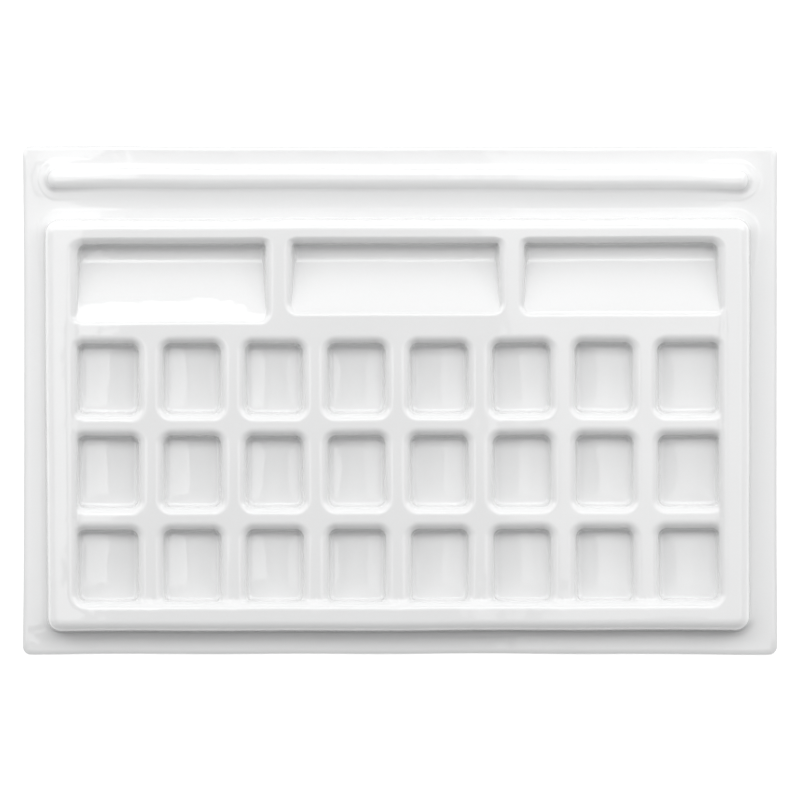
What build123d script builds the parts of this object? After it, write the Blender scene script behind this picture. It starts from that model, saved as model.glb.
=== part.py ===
# Painter's well palette: one thermoformed sheet of gloss white plastic.
#
# The tray is the space between two nested forms. The upper form is the face that
# holds the paint; the lower form is the same shape set in by the sheet thickness.
# Origin: middle of the flange, on the plane that the flange rests on. +Z up,
# +X along the long side, +Y towards the brush ridge at the back.
from build123d import *
import os
from math import atan, cos, hypot, radians, sin, sqrt, tan

# Sheet and flange
sheet = 1.2
flange_length = 340.0
flange_width = 229.0
flange_corner = 4.0

# Bezel: the raised frame around the wells, measured where it leaves the flange
bezel_half_length = 158.0
bezel_front = -104.0
bezel_back = 81.5
bezel_top = 13.5
bezel_corner = 6.5
bezel_draft = 4.0
bezel_edge_radius = 4.6
bezel_root_radius = 2.4

# Ridge that, with the bezel, forms the trough for resting a brush
ridge_half_length = 158.0
ridge_front = 94.4
ridge_back = 103.8
ridge_top = 7.2
ridge_end_radius = 4.5
ridge_edge_radius = 3.9
ridge_root_radius = 3.0

# Basin: the inner wall of the bezel, measured at the floor of the wells
basin_half_length = 143.6
basin_front = -89.7
basin_back = 69.7
basin_corner = 3.4
basin_draft = 5.0
basin_lip_radius = 4.0
floor_top = 2.2

# Dividers: level with the bezel at the back, lower by divider_drop at the front
divider_drop = 2.7

# Small wells, measured at their floors
columns = 8
rows = 3
column_pitch = 37.14
row_pitch = 42.05
middle_row = -32.0
well_length = 24.3
well_width = 30.6
well_corner = 3.0
well_draft = 8.0
well_lip_radius = 3.7
well_floor_radius = 1.7

# Mixing wells: left side, right side and front lip of each
mixing_wells = [
    (-144.0, -61.4, 32.6),
    (-47.4, 43.7, 36.6),
    (57.4, 144.0, 35.6),
]
ramp_foot = 62.9
ramp_step = 0.6

# Construction: how far a pocket passes the wall that trims it, how far the wedge under
# a ramp runs into the walls beside it, and how far blocks pass the outside of the tray
overlap = 0.4
ramp_side = 6.0
reach = 30.0
depth = 8.0

divider_tilt = divider_drop / (basin_back - basin_front)


def divider_height(y):
    """Height of the divider tops at a given y."""
    return bezel_top - divider_drop + (y - basin_front) * divider_tilt


def rectangle(x0, x1, y0, y1, corner):
    """Rounded rectangle between two x and two y values, added to the open sketch."""
    with Locations(((x0 + x1) / 2, (y0 + y1) / 2)):
        RectangleRounded(x1 - x0, y1 - y0, corner)


def wall_shift(inset, draft):
    """Sideways move of a drafted wall's foot when its surface is set in by the inset."""
    return inset / cos(radians(draft)) - inset * tan(radians(draft))


def pierced_face(solid, plane):
    """The flat face, parallel to the plane, that has the most outlines standing on it."""
    return solid.faces().filter_by(plane).sort_by(lambda face: len(face.inner_wires()))[-1]


def raised_form(inset, spread):
    """Flange, bezel and ridge, set in by the inset, on a block wider by the spread."""
    flange_top = sheet - inset
    shrink = wall_shift(inset, bezel_draft)
    with BuildPart() as form:
        with BuildSketch(Plane.XY.offset(-depth)):
            RectangleRounded(flange_length + spread, flange_width + spread, flange_corner)
        extrude(amount=depth + flange_top)

        with BuildSketch(Plane.XY.offset(flange_top)):
            rectangle(
                -bezel_half_length + shrink,
                bezel_half_length - shrink,
                bezel_front + shrink,
                bezel_back - shrink,
                bezel_corner - shrink,
            )
        bezel = extrude(amount=bezel_top - sheet, taper=bezel_draft)
        fillet(bezel.faces().sort_by(Axis.Z)[-1].edges(), bezel_edge_radius - inset)

        with BuildSketch(Plane.XY.offset(flange_top)):
            rectangle(
                -ridge_half_length + shrink,
                ridge_half_length - shrink,
                ridge_front + shrink,
                ridge_back - shrink,
                ridge_end_radius - shrink,
            )
        ridge = extrude(amount=ridge_top - sheet, taper=bezel_draft)
        fillet(ridge.faces().sort_by(Axis.Z)[-1].edges(), ridge_edge_radius - inset)

        ridge_root = pierced_face(form, Plane.XY).inner_wires().sort_by(SortBy.LENGTH)[0]
        fillet(ridge_root.edges(), ridge_root_radius + inset)
        bezel_root = pierced_face(form, Plane.XY).inner_wires().sort_by(SortBy.LENGTH)[-1]
        fillet(bezel_root.edges(), bezel_root_radius + inset)
    return form.part


def pocket(outlines, floor, inset, draft, corner, lip_radius, lip_plane):
    """Air of drafted pockets under a slab of air, with rounded lips."""
    grow = wall_shift(inset, draft)
    with BuildPart() as air:
        with BuildSketch(lip_plane.offset(-inset)):
            Rectangle(flange_length + reach, flange_width + reach)
        extrude(amount=reach)
        with BuildSketch(Plane.XY.offset(floor - inset)):
            for x0, x1, y0, y1 in outlines:
                rectangle(x0 - grow, x1 + grow, y0 - grow, y1 + grow, corner + grow)
        extrude(amount=bezel_top + sheet - floor, taper=-draft)
        fillet(pierced_face(air, lip_plane).inner_wires().edges(), lip_radius - inset)
    return air.part


def well_outlines():
    """Floor outlines of the small wells; the outermost ones run just past the basin wall."""
    outlines = []
    for column in range(columns):
        x = (column - (columns - 1) / 2) * column_pitch
        left = -basin_half_length - overlap if column == 0 else x - well_length / 2
        right = basin_half_length + overlap if column == columns - 1 else x + well_length / 2
        for row in range(rows):
            y = middle_row + (row - (rows - 1) / 2) * row_pitch
            front = basin_front - overlap if row == 0 else y - well_width / 2
            outlines.append((left, right, front, y + well_width / 2))
    return outlines


def ramp(left, right, front_lip, inset):
    """Wedge under the ramp of a mixing well, up to the rounded lip at its front."""
    lip_middle = divider_height(front_lip) - well_lip_radius
    lip_reach = sqrt(well_lip_radius**2 - (well_lip_radius - ramp_step) ** 2)
    rise = lip_middle + well_lip_radius - ramp_step - floor_top
    slope = rise / (ramp_foot - front_lip - lip_reach)
    drop = inset * hypot(1, slope)
    foot = ramp_foot - (drop - inset) / slope
    rise_at_lip = slope * (ramp_foot - front_lip) + floor_top - lip_middle
    lip_gap = rise_at_lip / hypot(1, slope) - inset
    end = front_lip + lip_gap * sin(atan(slope))
    end_height = floor_top - drop + slope * (ramp_foot - end)
    with BuildPart() as wedge:
        with BuildSketch(Plane.YZ.offset(left - ramp_side)):
            Polygon(
                (foot, floor_top - inset),
                (end, end_height),
                (end, -depth),
                (foot, -depth),
                align=None,
            )
        extrude(amount=right - left + 2 * ramp_side)
    return wedge.part


def basin_air(inset):
    """Air inside the bezel: above the dividers and in every well."""
    mixing = [
        (left, right, front_lip + well_lip_radius, basin_back + overlap)
        for left, right, front_lip in mixing_wells
    ]
    divider_plane = Plane(
        origin=(0, 0, divider_height(0)), x_dir=(1, 0, 0), z_dir=(0, -divider_tilt, 1)
    )
    wells = pocket(
        well_outlines() + mixing,
        floor_top,
        inset,
        well_draft,
        well_corner,
        well_lip_radius,
        divider_plane,
    )
    basin = pocket(
        [(-basin_half_length, basin_half_length, basin_front, basin_back)],
        floor_top - depth / 2,
        inset,
        basin_draft,
        basin_corner,
        basin_lip_radius,
        Plane.XY.offset(bezel_top),
    )
    with BuildPart() as air:
        add(wells)
        floors = air.faces().filter_by(Plane.XY).group_by(Axis.Z)[0]
        fillet(floors.edges(), well_floor_radius + inset)
        for left, right, front_lip in mixing_wells:
            add(ramp(left, right, front_lip, inset), mode=Mode.SUBTRACT)
        add(basin, mode=Mode.INTERSECT)
    return air.part


upper_form = raised_form(0, 0)
upper_air = basin_air(0)
lower_form = raised_form(sheet, reach)
lower_air = basin_air(sheet)

with BuildPart() as underside:
    add(lower_form)
    add(lower_air, mode=Mode.SUBTRACT)

with BuildPart() as palette_tray:
    add(upper_form)
    add(upper_air, mode=Mode.SUBTRACT)
    add(underside.part, mode=Mode.SUBTRACT)

os.makedirs("parts", exist_ok=True)
palette_tray.part.label = "palette_tray"
export_step(palette_tray.part, "parts/palette_tray.step")
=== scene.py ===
"""Looks of a well palette: one thermoformed sheet of gloss white plastic in a plain studio.

The sheet's upper face is a height over the plan, so the mesh is laid out in plan first,
with rings of quads that follow every wall, and each vertex is then given its height.
Plan and heights are in millimetres until the mesh is made.
"""

import math

import bpy
import numpy as np
from mathutils import Matrix, Vector


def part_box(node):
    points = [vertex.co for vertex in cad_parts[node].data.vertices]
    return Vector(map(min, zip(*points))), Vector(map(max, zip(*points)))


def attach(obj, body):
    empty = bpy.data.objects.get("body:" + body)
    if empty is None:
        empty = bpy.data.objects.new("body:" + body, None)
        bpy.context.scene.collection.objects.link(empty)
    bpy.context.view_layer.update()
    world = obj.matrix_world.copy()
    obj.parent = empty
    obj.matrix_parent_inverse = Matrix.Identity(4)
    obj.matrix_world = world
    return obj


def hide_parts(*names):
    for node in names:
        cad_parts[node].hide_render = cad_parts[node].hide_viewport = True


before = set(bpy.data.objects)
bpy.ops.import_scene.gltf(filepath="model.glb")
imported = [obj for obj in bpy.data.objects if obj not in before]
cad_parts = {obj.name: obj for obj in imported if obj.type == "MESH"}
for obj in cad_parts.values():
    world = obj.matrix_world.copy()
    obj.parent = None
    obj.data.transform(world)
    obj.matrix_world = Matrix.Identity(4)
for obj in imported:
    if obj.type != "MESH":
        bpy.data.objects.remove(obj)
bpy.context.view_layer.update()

MM = 0.001
NODE = "palette_tray"
tray_high = np.array(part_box(NODE)[1]) / MM

# Flange
SHEET = 1.2
FLANGE_X, FLANGE_Y, BEZEL_TOP = tray_high
FLANGE_CORNER = 4.0
CUT_EDGE = 0.18

# Bezel, where it leaves the flange. Round its foot runs a chill line, a low step where
# the sheet first touched the mould. It runs further out, and is higher, at the back.
BEZEL = (-158.0, 158.0, -104.0, 81.5)
BEZEL_CORNER = 6.5
BEZEL_DRAFT = math.radians(4.0)
BEZEL_EDGE = 4.6
BEZEL_ROOT = 1.4
CHILL_EASE = (45.0, 80.0)
CHILL_NEAR, CHILL_FAR = 1.5, 4.4
CHILL_HALF = 0.5
CHILL_RISE = 0.15
CHILL_SIDE = 0.7

# Brush ridge, where it leaves the flange. Pairs of values are for its front and back
# sides, which are blended over RIDGE_CROWN. Its ends are the same all round: their values
# lie RIDGE_END_BLEND of the way from the front's to the back's.
RIDGE = (-158.0, 158.0, 94.4, 103.8)
RIDGE_TOP = 7.2
RIDGE_END = 4.5
RIDGE_CROWN = (98.5, 101.5)
RIDGE_DRAFT = (math.radians(32.0), math.radians(4.0))
RIDGE_EDGE = (5.3, 3.4)
RIDGE_ROOT = (4.0, 2.5)
RIDGE_END_ROOT = 2.4
RIDGE_END_BLEND = 0.78
RIDGE_END_EASE = (125.0, 153.5)
RIDGE_CHILL = 4.3
SKIRT_RISE = (2.5, 0.35)
SKIRT_WIDTH = 13.0

# Basin: the inner wall of the bezel, at the floor of the wells
BASIN = (-143.6, 143.6, -89.7, 69.7)
BASIN_CORNER = 3.4
BASIN_DRAFT = math.radians(5.0)
BASIN_LIP = 4.0
BASIN_BELOW = 10.0
BASIN_SHARP = 1e-3
FLOOR = 2.2
DIVIDER_DROP = 2.7
DIVIDER_FOOT = 1.0
LEDGE_START = 6.9

# Small wells, at their floors
COLUMNS = 8
ROWS = 3
COLUMN_PITCH = 37.14
ROW_PITCH = 42.05
MIDDLE_ROW = -32.0
WELL_LENGTH = 24.3
WELL_WIDTH = 30.6
WELL_CORNER = 3.0
WELL_DRAFT = math.radians(8.0)
WELL_LIP = 3.7
WELL_FOOT = 1.7
PAST_BASIN = 0.4
BACK_ROW_SHORT = 0.7
FLOOR_DOME = 0.55
DOME_EDGE = 6

# How far the sheet drifted in forming: at an x, sideways at the front, back and ridge
DRIFT = (
    (-170.0, 0.0, 0.0, 0.0),
    (-158.0, -0.6, -1.8, -0.9),
    (-148.2, -0.4, -2.1, -0.9),
    (-143.6, -0.2, -0.3, -0.6),
    (0.0, -0.7, -1.3, -0.8),
    (143.6, -0.9, -1.6, -0.8),
    (148.2, -0.9, -1.1, -0.9),
    (158.0, -0.6, -0.6, -1.0),
    (170.0, 0.0, 0.0, 0.0),
)
BEZEL_TURN = 0.35
RIDGE_TURN = -0.35
BOW_LEFT, BOW_RIGHT, BOW_FRONT, BOW_BACK = 0.8, 0.4, 0.4, 0.3

# Ripples of the plan and waves of the height: size, lengths along the two axes over which
# a wave turns by one radian, and phase. Waves grow to full size over WAVE_GROWTH of height,
# so that the flange lies flat.
PATCHES_X, SWELL_X = (0.10, 11.0, 37.0, 0.7), (0.08, 23.0, 31.0, 0.0)
PATCHES_Y, SWELL_Y = (0.12, 13.0, 41.0, 1.9), (0.08, 29.0, -19.0, 0.0)
WAVE_LONG, WAVE_SHORT = (0.05, 9.0, 14.0, 0.0), (0.05, 17.0, -8.0, 2.1)
WAVE_GROWTH = 2.0

# Mixing wells: left side, right side, line where the ramp would meet the ledge, height
# over which the two are blended, and how far the ramp bows up
MIXING = (
    (-144.0, -60.5, 34.1, 1.0, 0.40),
    (-46.4, 44.8, 38.05, 0.9, 0.0),
    (58.4, 144.0, 37.45, 1.3, 0.05),
)
MIXING_CORNER = 1.8
TROUGH_FRONT = 4.0
RAMP_FOOT = 62.9
RAMP_CREASE = 0.35
RAMP_SINK = 1e-3
BOW_FADE = 0.38


def well_sides():
    """Left and right sides of each column, and front and back sides of each row."""
    middle = (np.arange(COLUMNS) - (COLUMNS - 1) / 2) * COLUMN_PITCH
    left, right = middle - WELL_LENGTH / 2, middle + WELL_LENGTH / 2
    left[0] = BASIN[0] - PAST_BASIN
    right[-1] = BASIN[1] + PAST_BASIN
    middle = MIDDLE_ROW + (np.arange(ROWS) - (ROWS - 1) / 2) * ROW_PITCH
    front, back = middle - WELL_WIDTH / 2, middle + WELL_WIDTH / 2
    front[0] = BASIN[2] - PAST_BASIN
    back[-1] -= BACK_ROW_SHORT
    return left, right, front, back


WELL_LEFT, WELL_RIGHT, WELL_FRONT, WELL_BACK = well_sides()
MIXING_LEFT, MIXING_RIGHT, RAMP_HEAD, MIXING_SOFT, MIXING_BOW = (
    np.array(v) for v in zip(*MIXING)
)
MIXING_FRONT = RAMP_HEAD + TROUGH_FRONT
MIXING_SPLIT = (MIXING_RIGHT[:-1] + MIXING_LEFT[1:]) / 2
MIXING_START = WELL_BACK[-1] + LEDGE_START


def smooth_max(a, b, size):
    """The greater of two heights, with the crease between them filled over a height of size."""
    near = np.maximum(size - np.abs(a - b), 0) / size
    return np.maximum(a, b) + near * near * size / 4


def wall(s, floor, top, draft, foot, edge):
    """Height at distance s past the foot of a drafted wall with a hollow foot and round edge."""
    sine, cosine = np.sin(draft), np.cos(draft)
    reach = (1 - sine) / cosine
    height = floor + s * cosine / sine
    from_foot = s + foot * reach
    arc = floor + foot - np.sqrt(np.maximum(foot**2 - from_foot**2, 0))
    height = np.where(from_foot < foot * cosine, arc, height)
    height = np.where(from_foot < 0, floor, height)
    to_edge = (top - floor) * sine / cosine + edge * reach - s
    arc = top - edge + np.sqrt(np.maximum(edge**2 - to_edge**2, 0))
    height = np.where(to_edge < edge * cosine, arc, height)
    return np.where(to_edge < 0, top, height)


def distance(x, y, box, corner):
    """Distance outwards from a rounded rectangle (x0, x1, y0, y1), negative inside it."""
    x0, x1, y0, y1 = box
    across = np.abs(x - (x0 + x1) / 2) - (x1 - x0) / 2 + corner
    along = np.abs(y - (y0 + y1) / 2) - (y1 - y0) / 2 + corner
    outside = np.hypot(np.maximum(across, 0), np.maximum(along, 0))
    return outside + np.minimum(np.maximum(across, along), 0) - corner


def eased(value, start, end):
    """0 before start, 1 past end, and an even ease between them."""
    t = np.clip((value - start) / (end - start), 0, 1)
    return t * t * (3 - 2 * t)


def divider_level(y):
    """Height of the divider tops: level with the bezel at the back, lower at the front."""
    return BEZEL_TOP - DIVIDER_DROP * (BASIN[3] - y) / (BASIN[3] - BASIN[2])


def nearest(value, pitch, count):
    """Index of the nearest of a count of evenly pitched places, centred on 0."""
    return np.clip(np.round(value / pitch + (count - 1) / 2), 0, count - 1).astype(int)


def small_wells(x, y, level):
    """Height of the nearest small well: drafted walls, soft lips and a domed floor."""
    column = nearest(x, COLUMN_PITCH, COLUMNS)
    row = nearest(y - MIDDLE_ROW, ROW_PITCH, ROWS)
    box = (WELL_LEFT[column], WELL_RIGHT[column], WELL_FRONT[row], WELL_BACK[row])
    depth = wall(distance(x, y, box, WELL_CORNER), FLOOR, level, WELL_DRAFT, WELL_FOOT, WELL_LIP)
    across = (2 * x - box[0] - box[1]) / (box[1] - box[0])
    along = (2 * y - box[2] - box[3]) / (box[3] - box[2])
    dome = np.maximum(1 - across**2, 0) * np.maximum(1 - along**DOME_EDGE, 0)
    return depth + FLOOR_DOME * dome


def mixing_wells(x, y, level):
    """Height of the nearest mixing well: a flat trough behind a ramp up to the ledge."""
    which = np.searchsorted(MIXING_SPLIT, x)
    box = (MIXING_LEFT[which], MIXING_RIGHT[which], MIXING_FRONT[which], BASIN[3] + PAST_BASIN)
    trough = wall(
        distance(x, y, box, MIXING_CORNER), FLOOR, level, WELL_DRAFT, WELL_FOOT, WELL_LIP
    )
    soft = MIXING_SOFT[which]
    head = RAMP_HEAD[which]
    slope = (divider_level(head) - FLOOR) / (RAMP_FOOT - head)
    along = (2 * y - head - RAMP_FOOT) / (RAMP_FOOT - head)
    across = (2 * x - box[0] - box[1]) / (box[1] - box[0])
    bow = MIXING_BOW[which] * np.maximum(1 - along**2, 0) * (1 - BOW_FADE * across**2)
    ramp = FLOOR + slope * (RAMP_FOOT - y) + bow
    ramp = smooth_max(ramp, FLOOR - RAMP_SINK, RAMP_CREASE)
    ramp = -smooth_max(-ramp, -level, soft)
    return np.maximum(trough, ramp)


def brush_ridge(x, y):
    """Height of the ridge and its skirt: steep behind, sloping in front, with round ends."""
    outside = distance(x, y, RIDGE, RIDGE_END)
    at_end = eased(np.abs(x), *RIDGE_END_EASE)
    behind = eased(y, *RIDGE_CROWN)
    behind += (RIDGE_END_BLEND - behind) * at_end
    draft, edge, root, rise = (
        front + (back - front) * behind
        for front, back in (RIDGE_DRAFT, RIDGE_EDGE, RIDGE_ROOT, SKIRT_RISE)
    )
    root += (RIDGE_END_ROOT - root) * at_end
    skirt = rise * (1 - np.clip(outside / SKIRT_WIDTH, 0, 1)) ** 2
    skirt += CHILL_RISE * at_end * (1 - eased(outside - RIDGE_CHILL, -CHILL_HALF, CHILL_HALF))
    top = RIDGE_TOP - rise - CHILL_RISE * at_end
    root = np.minimum(root, (top - SHEET) / (1 - np.sin(draft)) - edge)
    return skirt + wall(-outside, SHEET, top, draft, root, edge)


def surface(x, y):
    """Height of the sheet's upper face over a point of the plan."""
    level = divider_level(y)
    wells = np.where(y > MIXING_START, mixing_wells(x, y, level), small_wells(x, y, level))
    inside = distance(x, y, BASIN, BASIN_CORNER)
    basin_wall = wall(
        inside + BASIN_BELOW * math.tan(BASIN_DRAFT),
        FLOOR - BASIN_BELOW,
        BEZEL_TOP,
        BASIN_DRAFT,
        BASIN_SHARP,
        BASIN_LIP,
    )
    wells = smooth_max(wells, basin_wall, DIVIDER_FOOT)
    wells = np.maximum(wells, wall(inside, FLOOR, BEZEL_TOP, BASIN_DRAFT, WELL_FOOT, BASIN_LIP))
    wells = np.minimum(wells, BEZEL_TOP)
    outside = distance(x, y, BEZEL, BEZEL_CORNER)
    bezel = wall(-outside, SHEET, BEZEL_TOP, BEZEL_DRAFT, BEZEL_ROOT, BEZEL_EDGE)
    at_back = eased(y, *CHILL_EASE)
    line = CHILL_NEAR + (CHILL_FAR - CHILL_NEAR) * at_back
    rise = CHILL_RISE * (CHILL_SIDE + (1 - CHILL_SIDE) * at_back)
    chill = rise * (1 - eased(outside - line, -CHILL_HALF, CHILL_HALF))
    ground = brush_ridge(x, y) + chill
    return np.maximum(np.minimum(wells, bezel), ground)


# Layout of the mesh: segments, and rings with how far they reach either side of an edge
CORNER_SEGMENTS = 6
SMALL_X = 2 * CORNER_SEGMENTS + 5
SMALL_Y = 2 * CORNER_SEGMENTS + 6
MIXING_Y = 2 * CORNER_SEGMENTS + 16
RIDGE_Y = 7
WELL_INSIDE, WELL_OUTSIDE = -2.0, 5.0
WELL_RINGS = 26
BEZEL_INSIDE, BEZEL_OUTSIDE = -5.45, 5.6
BEZEL_RINGS = 34
RIDGE_INSIDE, RIDGE_OUTSIDE = -4.2, 5.2
RIDGE_RINGS = 28
LAND_RINGS = 4
FLAT_RINGS = 2
BEND_WEIGHT = 4.0
SECTION_SAMPLES = 500
CELL_MARGIN = 5.25
LEDGE_LINE = 6.6
MIXING_CORE = 0.9
FRAME_X = 164.5
FRAME_MARGIN = 6.0
MERGE_PER_MM = 1e4


def section(base, direction, start, end, count):
    """Rings of points from start to end along each direction, closer where the sheet bends."""
    s = np.linspace(start, end, SECTION_SAMPLES)
    points = base[:, None, :] + direction[:, None, :] * s[None, :, None]
    height = surface(points[..., 0], points[..., 1])
    step = np.diff(s)[None, :]
    rise = np.diff(height, axis=1)
    lean = np.arctan2(rise, step)
    bend = np.abs(np.diff(lean, axis=1, prepend=lean[:, :1]))
    weight = np.cumsum(np.hypot(step, rise) + BEND_WEIGHT * bend, axis=1)
    weight = np.concatenate([np.zeros((len(base), 1)), weight], axis=1)
    rings = np.empty((count + 1, len(base), 2))
    for i in range(len(base)):
        wanted = np.linspace(0, weight[i, -1], count + 1)
        rings[:, i] = base[i] + direction[i] * np.interp(wanted, weight[i], s)[:, None]
    return rings


def rim(box, corner, across, along, corner_x=CORNER_SEGMENTS, corner_y=CORNER_SEGMENTS):
    """Points and outward directions round a rounded rectangle, from its front left corner.

    across and along hold the fractions of the straight sides where vertices stand.
    """
    x0, x1, y0, y1 = box
    points, directions = [], []

    def arc(cx, cy, start, end, segments):
        for angle in np.linspace(start, end, segments + 1)[:-1]:
            outward = np.array([math.cos(angle), math.sin(angle)])
            points.append(np.array([cx, cy]) + corner * outward)
            directions.append(outward)

    def line(a, b, outward, fractions):
        for t in fractions[:-1]:
            points.append(a + (b - a) * t)
            directions.append(np.array(outward))

    quarter = math.pi / 4
    left, right = x0 + corner, x1 - corner
    front, back = y0 + corner, y1 - corner
    arc(left, front, -3 * quarter, -2 * quarter, corner_x)
    line(np.array([left, y0]), np.array([right, y0]), (0.0, -1.0), across)
    arc(right, front, -2 * quarter, -quarter, corner_x)
    arc(right, front, -quarter, 0, corner_y)
    line(np.array([x1, front]), np.array([x1, back]), (1.0, 0.0), along)
    arc(right, back, 0, quarter, corner_y)
    arc(right, back, quarter, 2 * quarter, corner_x)
    line(np.array([right, y1]), np.array([left, y1]), (0.0, 1.0), 1 - across[::-1])
    arc(left, back, 2 * quarter, 3 * quarter, corner_x)
    arc(left, back, 3 * quarter, 4 * quarter, corner_y)
    line(np.array([x0, back]), np.array([x0, front]), (-1.0, 0.0), 1 - along[::-1])
    arc(left, front, -4 * quarter, -3 * quarter, corner_y)
    return np.array(points), np.array(directions)


def rectangle(xs, ys, back_xs=None):
    """Points round a plain rectangle, in the same order as rim, from its grid lines."""
    back_xs = xs if back_xs is None else back_xs
    front = [(x, ys[0]) for x in xs[:-1]]
    right = [(xs[-1], y) for y in ys[:-1]]
    back = [(x, ys[-1]) for x in back_xs[::-1][:-1]]
    left = [(xs[0], y) for y in ys[::-1][:-1]]
    return np.array(front + right + back + left)


class Plan:
    """Quads laid out in plan; points that coincide are shared."""

    def __init__(self):
        self.points = []
        self.index = {}
        self.faces = []

    def vertex(self, point):
        """Index of the vertex at a point, made if it isn't there yet."""
        key = (round(point[0] * MERGE_PER_MM), round(point[1] * MERGE_PER_MM))
        if key not in self.index:
            self.index[key] = len(self.points)
            self.points.append(point)
        return self.index[key]

    def grid(self, points):
        """Quads between rows of points."""
        ids = [[self.vertex(p) for p in row] for row in points]
        for a, b in zip(ids, ids[1:]):
            for i in range(len(a) - 1):
                self.faces.append((a[i], a[i + 1], b[i + 1], b[i]))

    def rings(self, loops):
        """Bands between loops given from the inside out."""
        closed = np.concatenate([loops, loops[:, :1]], axis=1)
        self.grid(closed[::-1])

    def land(self, inner, outer, count):
        """Bands over flat ground between two loops."""
        t = np.linspace(0, 1, count + 1)[:, None, None]
        self.rings(inner[None] * (1 - t) + outer[None] * t)

    def fill(self, loop, nx, ny):
        """Grid across a loop of 2 * (nx + ny) points."""
        closed = np.concatenate([loop, loop[:1]])
        front = closed[: nx + 1]
        right = closed[nx : nx + ny + 1]
        back = closed[nx + ny : 2 * nx + ny + 1][::-1]
        left = closed[2 * nx + ny :][::-1]
        u = ((front[:, 0] - front[0, 0]) / (front[-1, 0] - front[0, 0]))[None, :, None]
        v = ((left[:, 1] - left[0, 1]) / (left[-1, 1] - left[0, 1]))[:, None, None]
        edges = (1 - v) * front[None] + v * back[None]
        edges = edges + (1 - u) * left[:, None] + u * right[:, None]
        corners = (
            (1 - u) * (1 - v) * front[0]
            + u * (1 - v) * front[-1]
            + (1 - u) * v * back[0]
            + u * v * back[-1]
        )
        self.grid(edges - corners)


def grid_line(start, end, corner_start, corner_end, segments):
    """Positions along a cell's side: evenly within each corner's share and between them."""
    middle = segments - 2 * CORNER_SEGMENTS
    return np.concatenate(
        [
            np.linspace(start, corner_start, CORNER_SEGMENTS + 1)[:-1],
            np.linspace(corner_start, corner_end, middle + 1)[:-1],
            np.linspace(corner_end, end, CORNER_SEGMENTS + 1),
        ]
    )


def joined(lines):
    """Grid lines end to end, with the ends that they share kept once."""
    return np.concatenate([line[:-1] for line in lines[:-1]] + [lines[-1]])


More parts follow.
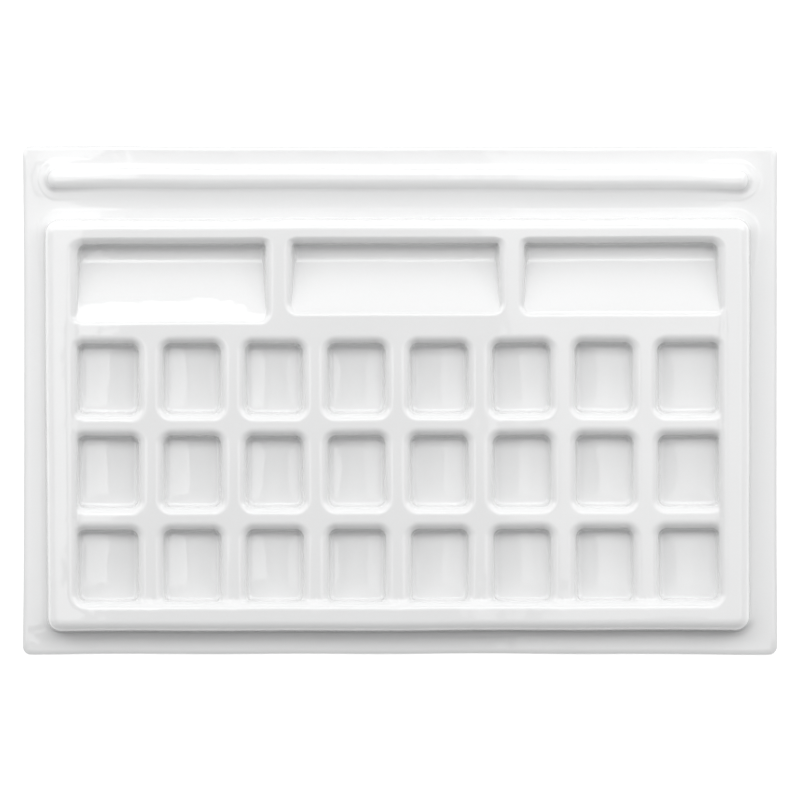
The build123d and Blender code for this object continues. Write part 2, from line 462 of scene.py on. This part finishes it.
def lay_out():
    """The whole plan: wells, the land round them, bezel, ridge and flange."""
    plan = Plan()
    cell_x = [BASIN[0] - CELL_MARGIN]
    cell_x += [(i + 1 - COLUMNS / 2) * COLUMN_PITCH for i in range(COLUMNS - 1)]
    cell_x += [BASIN[1] + CELL_MARGIN]
    cell_y = [BASIN[2] - CELL_MARGIN]
    cell_y += [MIDDLE_ROW + (i + 1 - ROWS / 2) * ROW_PITCH for i in range(ROWS - 1)]
    cell_y += [WELL_BACK[-1] + LEDGE_LINE]
    left = np.maximum(WELL_LEFT, BASIN[0])
    right = np.minimum(WELL_RIGHT, BASIN[1])
    front = np.maximum(WELL_FRONT, BASIN[2])
    lines_x = [
        grid_line(cell_x[i], cell_x[i + 1], left[i] + WELL_CORNER, right[i] - WELL_CORNER, SMALL_X)
        for i in range(COLUMNS)
    ]
    back = WELL_BACK
    lines_y = [
        grid_line(cell_y[j], cell_y[j + 1], front[j] + WELL_CORNER, back[j] - WELL_CORNER, SMALL_Y)
        for j in range(ROWS)
    ]
    even = np.linspace(0, 1, SMALL_X - 2 * CORNER_SEGMENTS + 1)
    even_y = np.linspace(0, 1, SMALL_Y - 2 * CORNER_SEGMENTS + 1)
    for i in range(COLUMNS):
        for j in range(ROWS):
            box = (left[i], right[i], front[j], back[j])
            base, outward = rim(box, WELL_CORNER, even, even_y)
            rings = section(base, outward, WELL_INSIDE, WELL_OUTSIDE, WELL_RINGS)
            plan.rings(rings)
            plan.fill(rings[0], SMALL_X, SMALL_Y)
            plan.land(rings[-1], rectangle(lines_x[i], lines_y[j]), LAND_RINGS)

    all_x = joined(lines_x)
    splits = [0] + [int(np.argmin(np.abs(all_x - x))) for x in MIXING_SPLIT] + [len(all_x) - 1]
    back_edge = BASIN[3] + CELL_MARGIN
    middle_count = MIXING_Y - 2 * CORNER_SEGMENTS
    mixing_y = grid_line(
        cell_y[-1], back_edge, MIXING_FRONT[-1] + MIXING_CORNER, BASIN[3] - MIXING_CORNER, MIXING_Y
    )
    back_lines = []
    for k in range(len(MIXING)):
        xs = all_x[splits[k] : splits[k + 1] + 1]
        box = (
            max(MIXING_LEFT[k], BASIN[0]),
            min(MIXING_RIGHT[k], BASIN[1]),
            MIXING_FRONT[k],
            BASIN[3],
        )
        nx = len(xs) - 1
        inner = xs[CORNER_SEGMENTS : nx - CORNER_SEGMENTS + 1]
        across = (inner - inner[0]) / (inner[-1] - inner[0])
        start = np.array([[(box[0] + box[1]) / 2, box[2] + MIXING_CORNER]])
        length = box[3] - box[2] - 2 * MIXING_CORNER
        stops = section(start, np.array([[0.0, 1.0]]), 0, length, middle_count)[:, 0, 1]
        along = (stops - stops[0]) / length
        base, outward = rim(box, MIXING_CORNER, across, along)
        rings = section(base, outward, -MIXING_CORNER * MIXING_CORE, WELL_OUTSIDE, WELL_RINGS)
        plan.rings(rings)
        plan.fill(rings[0], nx, MIXING_Y)
        back_line = grid_line(xs[0], xs[-1], box[0] + MIXING_CORNER, box[1] - MIXING_CORNER, nx)
        back_lines.append(back_line)
        plan.land(rings[-1], rectangle(xs, mixing_y, back_line), LAND_RINGS)

    all_y = joined(lines_y + [mixing_y])
    inner_x = all_x[CORNER_SEGMENTS : -CORNER_SEGMENTS]
    inner_y = all_y[CORNER_SEGMENTS : -CORNER_SEGMENTS]
    across = (inner_x - inner_x[0]) / (inner_x[-1] - inner_x[0])
    along = (inner_y - inner_y[0]) / (inner_y[-1] - inner_y[0])
    base, outward = rim(BEZEL, BEZEL_CORNER, across, along)
    rings = section(base, outward, BEZEL_INSIDE, BEZEL_OUTSIDE, BEZEL_RINGS)
    plan.land(rectangle(all_x, all_y, joined(back_lines)), rings[0], FLAT_RINGS)
    plan.rings(rings)

    trough = (BEZEL[3] + RIDGE[2]) / 2
    behind = RIDGE[3] + FRAME_MARGIN
    before = BEZEL[2] - FRAME_MARGIN
    frame_x = np.concatenate(
        [
            np.linspace(-FRAME_X, BEZEL[0] + BEZEL_CORNER, CORNER_SEGMENTS + 1)[:-1],
            (BEZEL[0] + BEZEL_CORNER) * (1 - 2 * across),
            np.linspace(BEZEL[1] - BEZEL_CORNER, FRAME_X, CORNER_SEGMENTS + 1)[1:],
        ]
    )
    low, high = BEZEL[2] + BEZEL_CORNER, BEZEL[3] - BEZEL_CORNER
    frame_y = np.concatenate(
        [
            np.linspace(before, low, CORNER_SEGMENTS + 1)[:-1],
            low + (high - low) * along,
            np.linspace(high, trough, CORNER_SEGMENTS + 1)[1:],
        ]
    )
    plan.land(rings[-1], rectangle(frame_x, frame_y), FLAT_RINGS)

    half_end = (RIDGE_Y - 1) // 2
    base, outward = rim(RIDGE, RIDGE_END, across, np.array([0.0, 1.0]), corner_y=half_end)
    rings = section(base, outward, RIDGE_INSIDE, RIDGE_OUTSIDE, RIDGE_RINGS)
    plan.rings(rings)
    plan.fill(rings[0], len(frame_x) - 1, RIDGE_Y)
    ridge_y = np.linspace(trough, behind, RIDGE_Y + 1)
    plan.land(rings[-1], rectangle(frame_x, ridge_y), FLAT_RINGS)

    whole_y = joined([frame_y, ridge_y])
    inner_y = whole_y[CORNER_SEGMENTS : -CORNER_SEGMENTS]
    along = (inner_y - inner_y[0]) / (inner_y[-1] - inner_y[0])
    edge_box = (-FLANGE_X, FLANGE_X, -FLANGE_Y, FLANGE_Y)
    cut, outward = rim(edge_box, FLANGE_CORNER, across, along)
    plan.land(rectangle(frame_x, whole_y), cut - CUT_EDGE * outward, FLAT_RINGS)
    return plan, cut, outward


def patches(a, b, size, length_a, length_b, phase):
    """Waves along a that come and go along b."""
    return size * np.sin(a / length_a + phase) * np.cos(b / length_b)


def swell(x, y, size, length_x, length_y, phase):
    """Waves that run slanting over the plan."""
    return size * np.sin(x / length_x + y / length_y + phase)


def forming(x, y):
    """Sideways drift of the plan and waviness of the height, as the cooling sheet left them."""
    stations = np.array([station[0] for station in DRIFT])
    front, back, ridge = (
        np.interp(x, stations, [station[k] for station in DRIFT]) for k in (1, 2, 3)
    )
    drift_x = front + (back - front) * eased(y, BASIN[2], BASIN[3])
    drift_x += (ridge - back) * eased(y, BEZEL[3], RIDGE[2])
    turn = BEZEL_TURN + (RIDGE_TURN - BEZEL_TURN) * eased(y, BEZEL[3], RIDGE[2])
    turned = turn * x / BEZEL[1]
    to_edge_x = eased(np.abs(x), BEZEL[1] + CHILL_FAR, FLANGE_X)
    to_edge_y = np.maximum(eased(y, RIDGE[3], FLANGE_Y), eased(-y, -BEZEL[2], FLANGE_Y))
    drift_y = turned * (1 - to_edge_x) * (1 - to_edge_y)
    bow_x = np.where(x < 0, BOW_LEFT, -BOW_RIGHT)
    bow_y = np.where(y < 0, BOW_FRONT, -BOW_BACK)
    drift_x += bow_x * to_edge_x * (1 - (y / FLANGE_Y) ** 2)
    drift_y += bow_y * to_edge_y * (1 - (x / FLANGE_X) ** 2)
    drift_x = drift_x + (patches(y, x, *PATCHES_X) + swell(x, y, *SWELL_X))
    drift_y = drift_y + (patches(x, y, *PATCHES_Y) + swell(x, y, *SWELL_Y))
    return drift_x, drift_y, swell(x, y, *WAVE_LONG) + swell(x, y, *WAVE_SHORT)


def vertex_normals(points, quads):
    """Upward or downward unit normals: the mean of those of the quads round each vertex."""
    diagonal_a = points[quads[:, 2]] - points[quads[:, 0]]
    diagonal_b = points[quads[:, 3]] - points[quads[:, 1]]
    face = np.cross(diagonal_a, diagonal_b)
    face /= np.linalg.norm(face, axis=1)[:, None]
    normals = np.zeros_like(points)
    for corner in range(4):
        np.add.at(normals, quads[:, corner], face)
    return normals / np.linalg.norm(normals, axis=1)[:, None]


def build_tray():
    """The sheet: upper face, underside at the sheet's thickness below it, and cut edge."""
    plan, cut, outward = lay_out()
    flat = np.array(plan.points)
    quads = np.array(plan.faces)
    height = surface(flat[:, 0], flat[:, 1])
    top = np.column_stack([flat, height])
    normals = vertex_normals(top, quads)
    if normals[:, 2].mean() < 0:
        quads = quads[:, ::-1]
        normals = -normals
    under = top - SHEET * normals
    under[:, 2] = np.maximum(under[:, 2], 0)
    count = len(top)
    inner = [plan.vertex(p) for p in cut - CUT_EDGE * outward]
    rim_loops = [np.array(inner)]
    points = [top, under]
    for z in (SHEET - CUT_EDGE, CUT_EDGE):
        rim_loops.append(np.arange(len(cut)) + sum(len(p) for p in points))
        points.append(np.column_stack([cut, np.full(len(cut), z)]))
    rim_loops.append(np.array(inner) + count)
    faces = [quads, quads[:, ::-1] + count]
    for a, b in zip(rim_loops, rim_loops[1:]):
        faces.append(np.column_stack([a, b, np.roll(b, -1), np.roll(a, -1)]))
    points = np.concatenate(points)
    faces = np.concatenate(faces)
    drift_x, drift_y, wave = forming(points[:, 0], points[:, 1])
    growth = np.clip((points[:, 2] - SHEET) / WAVE_GROWTH, 0, 1)
    points[:, 0] += drift_x
    points[:, 1] += drift_y
    points[:, 2] += wave * growth
    mesh = bpy.data.meshes.new("formed_tray")
    mesh.from_pydata((points * MM).tolist(), [], faces.tolist())
    mesh.validate()
    mesh.shade_smooth()
    tray = bpy.data.objects.new("formed_tray", mesh)
    bpy.context.scene.collection.objects.link(tray)
    return tray


# Plastic: tones are shares of white, lengths are in metres. A noise has its scale per
# metre and its detail; a range is the part of a value that is stretched to 0..1.
PLASTIC_IOR = 1.58
PLASTIC_WHITE = 0.80
PLASTIC_TINT = (0.997, 1.0, 1.002)
PLASTIC_ROUGHNESS = (0.008, 0.024)
ROUGHNESS_NOISE = (45.0, 4.0)
NOISE_RANGE = (0.3, 0.7)
CLOUD_NOISE, CLOUD_TONE = (14.0, 3.0), 0.012
GRAIN_NOISE, GRAIN_TONE = (900.0, 2.0), 0.008
EDGE_RANGE = (0.52, 0.62)
RUB_NOISE, RUB_RANGE = (60.0, 2.0), (0.4, 0.7)
RUB_TONE = 0.02
RUB_ROUGHNESS = 0.06
SCUFF_NOISE, SCUFF_RANGE = (90.0, 4.0), (0.60, 0.78)
SCUFF_STRETCH = (1.0, 14.0, 1.0)
SCUFF_ROUGHNESS = 0.02
SPECKS_PER_METRE = 70.0
SPECK_SHARE = 0.05
SPECK_RADII = (0.012, 0.03)
SPECK_TONE = -0.45
SPECK_DEPTH = -2e-5
WAVE_NOISE, WAVE_DEPTH = (120.0, 1.0), 5.5e-5
PEEL_NOISE, PEEL_DEPTH = (1500.0, 2.0), 6e-7


class Nodes:
    """Short calls for building a node tree."""

    def __init__(self, tree):
        self.tree = tree

    def add(self, kind, **settings):
        """A new node of a kind, with its settings."""
        node = self.tree.nodes.new(kind)
        for name, value in settings.items():
            setattr(node, name, value)
        return node

    def link(self, source, target):
        self.tree.links.new(source, target)

    def noise(self, place, scale, detail=2.0, stretch=None):
        """Noise over the object's own coordinates, optionally stretched along an axis."""
        if stretch:
            mapping = self.add("ShaderNodeMapping")
            mapping.inputs["Scale"].default_value = stretch
            self.link(place, mapping.inputs["Vector"])
            place = mapping.outputs["Vector"]
        node = self.add("ShaderNodeTexNoise")
        node.inputs["Scale"].default_value = scale
        node.inputs["Detail"].default_value = detail
        self.link(place, node.inputs["Vector"])
        return node.outputs["Fac"]

    def remap(self, source, low, high, new_low, new_high):
        """A value's range from low to high, stretched and held to a new range."""
        node = self.add("ShaderNodeMapRange")
        for name, value in zip(
            ("From Min", "From Max", "To Min", "To Max"), (low, high, new_low, new_high)
        ):
            node.inputs[name].default_value = value
        self.link(source, node.inputs["Value"])
        return node.outputs["Result"]

    def combine(self, operation, a, b):
        """Two values or sockets combined by a maths operation."""
        node = self.add("ShaderNodeMath", operation=operation)
        for socket, value in zip(node.inputs, (a, b)):
            if isinstance(value, (int, float)):
                socket.default_value = value
            else:
                self.link(value, socket)
        return node.outputs["Value"]

    def bump(self, height, distance, normal=None):
        """Normals bent by a height, on top of an earlier bump's normals."""
        node = self.add("ShaderNodeBump")
        node.inputs["Distance"].default_value = distance
        self.link(height, node.inputs["Height"])
        if normal:
            self.link(normal, node.inputs["Normal"])
        return node.outputs["Normal"]


def plastic():
    """Gloss white plastic: forming waves, faint orange peel, scuffs, specks, worn edges."""
    material = bpy.data.materials.new("gloss_white_plastic")
    material.use_nodes = True
    nodes = Nodes(material.node_tree)
    shader = material.node_tree.nodes["Principled BSDF"]
    shader.inputs["IOR"].default_value = PLASTIC_IOR
    place = nodes.add("ShaderNodeTexCoord").outputs["Object"]

    cloud = nodes.remap(nodes.noise(place, *CLOUD_NOISE), *NOISE_RANGE, -0.5, 0.5)
    grain = nodes.remap(nodes.noise(place, *GRAIN_NOISE), *NOISE_RANGE, -0.5, 0.5)
    pointiness = nodes.add("ShaderNodeNewGeometry").outputs["Pointiness"]
    edge = nodes.remap(pointiness, *EDGE_RANGE, 0.0, 1.0)
    worn = nodes.remap(nodes.noise(place, *RUB_NOISE), *RUB_RANGE, 0.0, 1.0)
    rub = nodes.combine("MULTIPLY", edge, worn)
    scratch = nodes.noise(place, *SCUFF_NOISE, SCUFF_STRETCH)
    scuff = nodes.remap(scratch, *SCUFF_RANGE, 0.0, 1.0)
    cells = nodes.add("ShaderNodeTexVoronoi")
    cells.inputs["Scale"].default_value = SPECKS_PER_METRE
    nodes.link(place, cells.inputs["Vector"])
    chosen = nodes.combine("LESS_THAN", cells.outputs["Color"], SPECK_SHARE)
    spot = nodes.remap(cells.outputs["Distance"], *SPECK_RADII, 1.0, 0.0)
    speck = nodes.combine("MULTIPLY", chosen, spot)

    tone = nodes.combine("MULTIPLY", cloud, CLOUD_TONE)
    tone = nodes.combine("ADD", tone, nodes.combine("MULTIPLY", grain, GRAIN_TONE))
    tone = nodes.combine("ADD", tone, nodes.combine("MULTIPLY", rub, RUB_TONE))
    tone = nodes.combine("ADD", tone, nodes.combine("MULTIPLY", speck, SPECK_TONE))
    value = nodes.combine("ADD", tone, PLASTIC_WHITE)
    colour = nodes.add("ShaderNodeCombineColor")
    for channel, tint in zip(("Red", "Green", "Blue"), PLASTIC_TINT):
        nodes.link(nodes.combine("MULTIPLY", value, tint), colour.inputs[channel])
    nodes.link(colour.outputs["Color"], shader.inputs["Base Color"])

    rough = nodes.remap(nodes.noise(place, *ROUGHNESS_NOISE), *NOISE_RANGE, *PLASTIC_ROUGHNESS)
    rough = nodes.combine("ADD", rough, nodes.combine("MULTIPLY", scuff, SCUFF_ROUGHNESS))
    rough = nodes.combine("ADD", rough, nodes.combine("MULTIPLY", rub, RUB_ROUGHNESS))
    nodes.link(rough, shader.inputs["Roughness"])

    normal = nodes.bump(nodes.noise(place, *WAVE_NOISE), WAVE_DEPTH)
    normal = nodes.bump(nodes.noise(place, *PEEL_NOISE), PEEL_DEPTH, normal)
    normal = nodes.bump(speck, SPECK_DEPTH, normal)
    nodes.link(normal, shader.inputs["Normal"])
    return material


# Studio, in metres. Each softbox has its angles off the zenith in degrees, towards the
# back and to the right, the width and depth that it spans in degrees, and its radiance,
# where 1 is the white of the picture.
LIGHT_AWAY = 1.6
AMBIENT = 0.16
SOFTBOXES = (
    ("back_scrim", 46, 0, 120, 76, 0.56),
    ("back_softbox", 30.2, 0, 120, 21.5, 1.95),
    ("back_low", 68, 0, 120, 24, 0.55),
    ("left_panel", 13.0, -10.7, 7.2, 37, 1.5),
    ("right_panel", 12.0, 9.6, 14.6, 37, 0.95),
    ("left_strip", 2, -26, 20, 22, 1.4),
    ("right_strip", 2, 26, 20, 22, 1.4),
    ("left_fill", 0, -65, 30, 90, 0.66),
    ("right_fill", 0, 65, 30, 90, 0.66),
)
FLOOR_HALF = 3.0
FLOOR_GAP = 1e-4
FLOOR_WHITE = (0.95, 0.95, 0.95, 1)
FLOOR_ROUGHNESS = 0.9
FLOOR_GLOW = 0.45
LIGHT_WHITE = (1, 1, 1, 1)
CAMERA_UP = 3.0
VIEW_WIDTH = 0.3602
SENSOR = 36.0


def softbox(name, back, side, width, depth, radiance):
    """Area light at a distance of LIGHT_AWAY, aimed at the tray.

    back and side are its angles off the zenith, towards the ridge and to the right;
    width and depth are the angles that it spans.
    """
    data = bpy.data.lights.new(name, "AREA")
    data.shape = "RECTANGLE"
    data.size = 2 * LIGHT_AWAY * math.tan(width / 2)
    data.size_y = 2 * LIGHT_AWAY * math.tan(depth / 2)
    data.energy = radiance * math.pi * data.size * data.size_y
    lamp = bpy.data.objects.new(name, data)
    bpy.context.scene.collection.objects.link(lamp)
    aim = Matrix.Rotation(side, 3, "Y") @ Matrix.Rotation(-back, 3, "X")
    lamp.rotation_euler = aim.to_euler()
    lamp.location = lamp.rotation_euler.to_matrix() @ Vector((0, 0, LIGHT_AWAY))


def studio():
    """Even ambient light, softboxes, a white table and the camera straight above."""
    scene = bpy.context.scene
    scene.view_settings.view_transform = "Standard"
    world = bpy.data.worlds.new("studio")
    scene.world = world
    world.use_nodes = True
    background = world.node_tree.nodes["Background"]
    background.inputs["Color"].default_value = LIGHT_WHITE
    background.inputs["Strength"].default_value = AMBIENT
    for name, back, side, width, depth, radiance in SOFTBOXES:
        angles = (math.radians(v) for v in (back, side, width, depth))
        softbox(name, *angles, radiance)
    mesh = bpy.data.meshes.new("floor")
    low, high = -FLOOR_HALF, FLOOR_HALF
    corners = ((low, low), (high, low), (high, high), (low, high))
    mesh.from_pydata([(x, y, -FLOOR_GAP) for x, y in corners], [], [(0, 1, 2, 3)])
    floor = bpy.data.objects.new("floor", mesh)
    scene.collection.objects.link(floor)
    material = bpy.data.materials.new("white_table")
    material.use_nodes = True
    shader = material.node_tree.nodes["Principled BSDF"]
    shader.inputs["Base Color"].default_value = FLOOR_WHITE
    shader.inputs["Roughness"].default_value = FLOOR_ROUGHNESS
    shader.inputs["Emission Color"].default_value = LIGHT_WHITE
    shader.inputs["Emission Strength"].default_value = FLOOR_GLOW
    mesh.materials.append(material)
    data = bpy.data.cameras.new("camera")
    camera = bpy.data.objects.new("camera", data)
    scene.collection.objects.link(camera)
    camera.location = (0.0, 0.0, CAMERA_UP)
    data.sensor_width = SENSOR
    data.lens = SENSOR * CAMERA_UP / VIEW_WIDTH
    scene.camera = camera


tray = build_tray()
tray.data.materials.append(plastic())
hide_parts(NODE)
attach(tray, "root")
studio()
